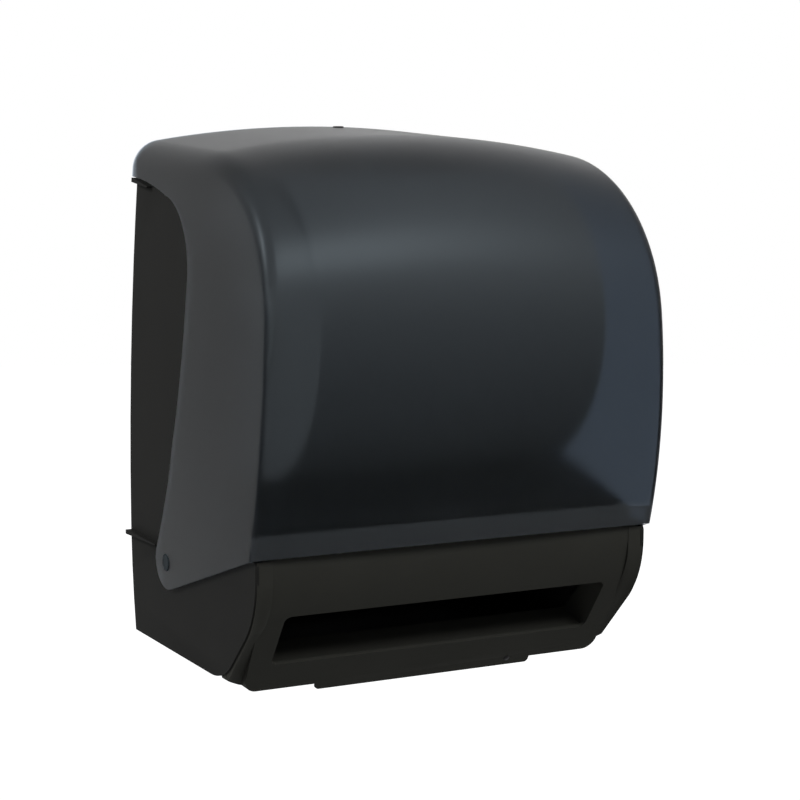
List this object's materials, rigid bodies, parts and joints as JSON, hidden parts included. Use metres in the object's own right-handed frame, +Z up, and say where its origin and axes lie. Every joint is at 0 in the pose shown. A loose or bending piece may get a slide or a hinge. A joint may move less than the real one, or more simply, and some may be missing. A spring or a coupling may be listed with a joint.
{
  "type": "automatic roll towel dispenser",
  "caption": "Wall-mounted hands-free roll towel dispenser with a smoked swing-down cover, towel roll on side arms and a battery-driven feed roller.",
  "frame": {"origin": "centre of the four wall screw holes, on the wall face of the back plate", "axes": "+Z up, +X to the right as seen from the front, +Y into the wall"},
  "size_m": [0.3164, 0.235, 0.3729],
  "materials": {
    "smoked_cover": "smoked translucent, moulded gloss",
    "black_plastic": "fine textured black",
    "gloss_black": "smooth black",
    "grey_plastic": "moulded",
    "white_nylon": "moulded nylon",
    "steel": "brushed",
    "zinc_screw": "zinc plated",
    "brass": "turned",
    "rubber": "ground rubber",
    "towel": "soft paper",
    "core_board": "wound board",
    "cell": "satin",
    "lens": "dark infrared window",
    "board": "solder mask",
    "button_plastic": "moulded"
  },
  "bodies": {
    "housing": {"chassis": "black_plastic", "nose_fascia": "black_plastic", "tear_bar": "steel", "deck": "black_plastic", "deck_screws": "zinc_screw", "battery_tray": "black_plastic", "battery_contacts": "zinc_screw", "battery_cells": "cell", "end_plate_left": "grey_plastic", "end_plate_right": "grey_plastic", "drive_bushes": "white_nylon", "pinch_bushes": "white_nylon", "idler_pin": "steel", "motor": "steel", "gearbox_cover": "grey_plastic", "gearbox_screws": "zinc_screw", "arm_pins": "steel", "latch_keeper": "steel", "keeper_screws": "zinc_screw", "control_panel": "gloss_black", "circuit_board": "board", "sensor_lens": "lens"},
    "cover": {"cover": "smoked_cover", "hinge_pins": "gloss_black", "lock_barrel": "zinc_screw"},
    "lock": {"lock_plug": "gloss_black", "lock_cam": "steel"},
    "roll": {"towel_roll": "towel", "roll_core": "core_board"},
    "left_arm": {"arm_left": "black_plastic", "hub_clip_left": "steel"},
    "right_arm": {"arm_right": "black_plastic", "hub_clip_right": "steel"},
    "left_hub": {"hub_left": "grey_plastic"},
    "right_hub": {"hub_right": "grey_plastic"},
    "drive_roller": {"drive_shaft": "steel", "drive_core": "grey_plastic", "drive_sleeves": "rubber", "drive_gear": "white_nylon"},
    "pinch_roller": {"pinch_shaft": "steel", "pinch_roller": "grey_plastic"},
    "idler": {"idler_gear": "white_nylon"},
    "pinion": {"motor_shaft": "steel", "motor_pinion": "brass"},
    "battery_door": {"battery_door": "black_plastic"},
    "feed_button": {"feed_button": "button_plastic"},
    "length_switch": {"length_switch": "button_plastic"},
    "delay_switch": {"delay_switch": "button_plastic"}
  },
  "joints": [
    {"name": "cover_hinge", "type": "hinge", "parent": "housing", "child": "cover", "pos_m": [0, -0.076, -0.111], "axis": [1, 0, 0], "range_deg": [0, 85]},
    {"name": "lock_turn", "type": "hinge", "parent": "cover", "child": "lock", "pos_m": [0, -0.02, 0.17], "axis": [0, 0, 1], "range_deg": [-90, 0]},
    {"name": "roll_spin", "type": "hinge", "parent": "housing", "child": "roll", "pos_m": [0, -0.12, 0.05], "axis": [1, 0, 0], "continuous": true},
    {"name": "left_arm_swing", "type": "hinge", "parent": "housing", "child": "left_arm", "pos_m": [-0.112, -0.012, 0.05], "axis": [0, 0, -1], "range_deg": [0, 10]},
    {"name": "right_arm_swing", "type": "hinge", "parent": "housing", "child": "right_arm", "pos_m": [0.112, -0.012, 0.05], "axis": [0, 0, 1], "range_deg": [0, 10]},
    {"name": "left_hub_spin", "type": "hinge", "parent": "left_arm", "child": "left_hub", "pos_m": [-0.1, -0.12, 0.05], "axis": [1, 0, 0], "continuous": true},
    {"name": "right_hub_spin", "type": "hinge", "parent": "right_arm", "child": "right_hub", "pos_m": [0.1, -0.12, 0.05], "axis": [1, 0, 0], "continuous": true},
    {"name": "drive_spin", "type": "hinge", "parent": "housing", "child": "drive_roller", "pos_m": [0, -0.1474, -0.1226], "axis": [1, 0, 0], "continuous": true},
    {"name": "pinch_spin", "type": "hinge", "parent": "housing", "child": "pinch_roller", "pos_m": [0, -0.16395, -0.10605], "axis": [1, 0, 0], "continuous": true},
    {"name": "idler_spin", "type": "hinge", "parent": "housing", "child": "idler", "pos_m": [0.13, -0.1277, -0.12607], "axis": [1, 0, 0], "continuous": true},
    {"name": "pinion_spin", "type": "hinge", "parent": "housing", "child": "pinion", "pos_m": [0.13, -0.10595, -0.13622], "axis": [1, 0, 0], "continuous": true},
    {"name": "battery_door_hinge", "type": "hinge", "parent": "housing", "child": "battery_door", "pos_m": [0, -0.009, -0.056], "axis": [-1, 0, 0], "range_deg": [0, 90]},
    {"name": "feed_press", "type": "slide", "parent": "housing", "child": "feed_button", "axis": [0, 0, -1], "range_m": [0, 0.002], "stiffness_N_per_m": 150, "springref_m": -0.001},
    {"name": "length_slide", "type": "slide", "parent": "housing", "child": "length_switch", "axis": [0, 1, 0], "range_m": [-0.002, 0.002]},
    {"name": "delay_slide", "type": "slide", "parent": "housing", "child": "delay_switch", "axis": [0, 1, 0], "range_m": [-0.002, 0.002]}
  ],
  "couplings": [
    {"joint": "left_hub_spin", "follows": "roll_spin", "ratio": 1},
    {"joint": "right_hub_spin", "follows": "roll_spin", "ratio": 1},
    {"joint": "pinch_spin", "follows": "drive_spin", "ratio": -1.875},
    {"joint": "idler_spin", "follows": "drive_spin", "ratio": -2.5714},
    {"joint": "pinion_spin", "follows": "drive_spin", "ratio": 10.286}
  ]
}
